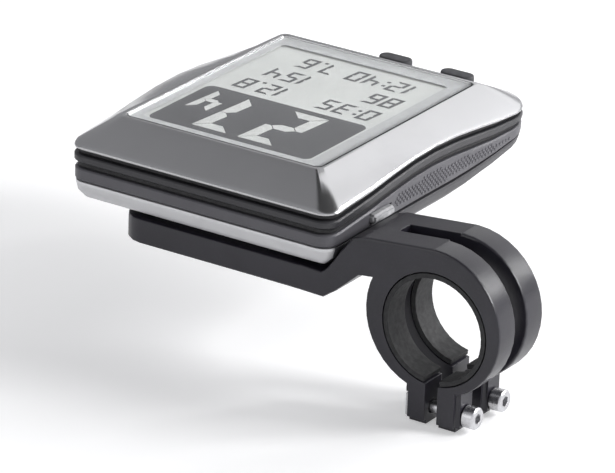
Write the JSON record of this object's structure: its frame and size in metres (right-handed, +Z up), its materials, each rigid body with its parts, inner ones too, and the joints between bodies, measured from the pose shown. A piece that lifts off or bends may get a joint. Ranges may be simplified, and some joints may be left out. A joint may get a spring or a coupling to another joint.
{
  "type": "bike computer mount",
  "caption": "Side-arm handlebar mount with a banded clamp for one extension bar, a slide-in dock and its docked cycle computer.",
  "frame": {"origin": "on the clamped bar's axis, midway between the two bands", "axes": "+Y along the bar towards the rider, +Z up, +X away from the computer"},
  "size_m": [0.1054, 0.083, 0.047],
  "materials": {
    "charcoal_plastic": "satin moulded",
    "seal_rubber": "matte",
    "key_rubber": "matte",
    "steel": "satin",
    "grey_shell": "satin painted",
    "silver_shell": "satin painted",
    "clear_window": "clear",
    "lcd_glass": "reflective lcd",
    "circuit_board": "solder mask",
    "battery_foil": "foil"
  },
  "bodies": {
    "mount": {"bracket": "charcoal_plastic", "band_pad_front": "seal_rubber", "band_pad_rear": "seal_rubber", "pinch_bolt_front": "steel", "pinch_bolt_rear": "steel", "pinch_nut_front": "steel", "pinch_nut_rear": "steel", "dock": "charcoal_plastic", "dock_screw_front_left": "steel", "dock_screw_front_right": "steel", "dock_screw_rear_left": "steel", "dock_screw_rear_right": "steel"},
    "computer": {"top_housing": "grey_shell", "display_window": "clear_window", "lcd_panel": "lcd_glass", "upper_gasket": "seal_rubber", "middle_frame": "grey_shell", "lower_gasket": "seal_rubber", "rear_housing": "grey_shell", "base_cover": "silver_shell", "case_screw_front_left": "steel", "case_screw_front_right": "steel", "case_screw_rear_left": "steel", "case_screw_rear_right": "steel", "circuit_board": "circuit_board", "battery": "battery_foil", "port_socket": "steel", "end_switch_left": "steel", "end_switch_right": "steel", "side_switch": "steel"},
    "end_key_left": {"end_key_left": "key_rubber"},
    "end_key_right": {"end_key_right": "key_rubber"},
    "side_key": {"side_key": "key_rubber"},
    "port_cover": {"port_cover": "key_rubber"}
  },
  "joints": [
    {"name": "computer_slide", "type": "slide", "parent": "mount", "child": "computer", "axis": [0, 1, 0], "range_m": [0, 0.036]},
    {"name": "end_key_left_press", "type": "slide", "parent": "computer", "child": "end_key_left", "axis": [0, 0, -1], "range_m": [0, 0.0006], "stiffness_N_per_m": 900},
    {"name": "end_key_right_press", "type": "slide", "parent": "computer", "child": "end_key_right", "axis": [0, 0, -1], "range_m": [0, 0.0006], "stiffness_N_per_m": 900},
    {"name": "side_key_press", "type": "slide", "parent": "computer", "child": "side_key", "axis": [-1, 0, 0], "range_m": [0, 0.0006], "stiffness_N_per_m": 900},
    {"name": "port_cover_swing", "type": "hinge", "parent": "computer", "child": "port_cover", "pos_m": [-0.057, 0.0475, 0.00775], "axis": [1, 0, 0], "range_deg": [0, 100]}
  ]
}
